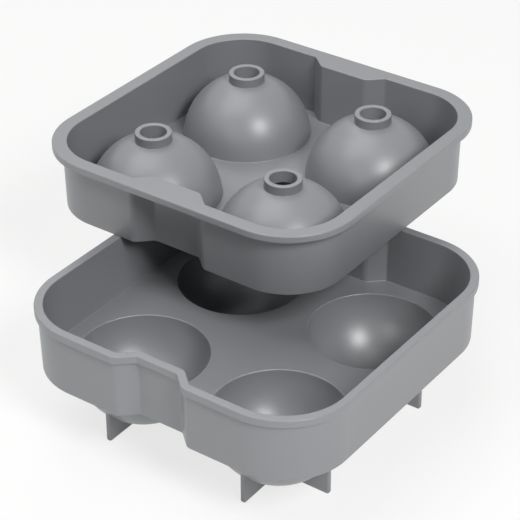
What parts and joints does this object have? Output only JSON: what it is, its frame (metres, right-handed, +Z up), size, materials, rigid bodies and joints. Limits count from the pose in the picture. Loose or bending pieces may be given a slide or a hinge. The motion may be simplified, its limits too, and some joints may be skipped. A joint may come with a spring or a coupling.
{
  "type": "ice ball mould",
  "caption": "Ice ball mould in grey silicone: a base tray with half-round cups on crossed fins, and a spouted lid laid askew on its rim.",
  "frame": {"origin": "middle of the pair's footprint, on the surface that the base's fins stand on", "axes": "+Z up, +Y from the base's front notch to its back notch, +X to the right when looking along +Y"},
  "size_m": [0.1562, 0.1738, 0.0735],
  "materials": {
    "silicone": "matte grey food-grade silicone with soft broad highlights"
  },
  "bodies": {
    "root": {"base_tray": "silicone", "lid_tray": "silicone"}
  },
  "joints": []
}
